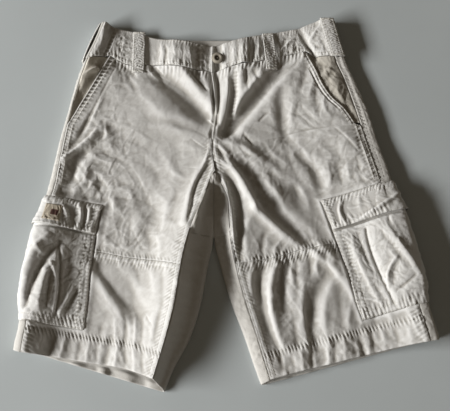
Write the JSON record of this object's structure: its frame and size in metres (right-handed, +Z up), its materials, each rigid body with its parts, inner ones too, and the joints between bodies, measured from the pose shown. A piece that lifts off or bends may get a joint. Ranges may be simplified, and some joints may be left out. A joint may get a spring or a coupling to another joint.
{
  "type": "cargo shorts",
  "caption": "Knee-length cotton cargo shorts laid flat, front up, with a buttoned waistband, belt loops, slanted front pockets and flapped bellows pockets on the legs.",
  "frame": {"origin": "middle of the outline of the laid-out shorts, on the surface they lie on", "axes": "+X towards the wearer's left side, +Y towards the waist, +Z up from the surface, out of the garment's front"},
  "size_m": [0.6176, 0.5834, 0.0408],
  "materials": {
    "twill": "washed stone cotton twill, matt, with puckered double-needle seams",
    "label": "plain woven label, no text",
    "button": "dull antique nickel shank button"
  },
  "bodies": {
    "root": {"front_right_upper": "twill", "front_left_upper": "twill", "front_right_lower": "twill", "front_left_lower": "twill", "back_right": "twill", "back_left": "twill", "pocket_facing_right": "twill", "pocket_facing_left": "twill", "waistband_front_right": "twill", "waistband_front_left": "twill", "waistband_back": "twill", "belt_loop_front_right": "twill", "belt_loop_front_left": "twill", "belt_loop_side_right": "twill", "belt_loop_side_left": "twill", "belt_loop_back": "twill", "cargo_pocket_right": "twill", "cargo_pocket_left": "twill", "cargo_flap_right": "twill", "cargo_flap_left": "twill", "flap_tag": "label", "waist_button": "button"}
  },
  "joints": []
}
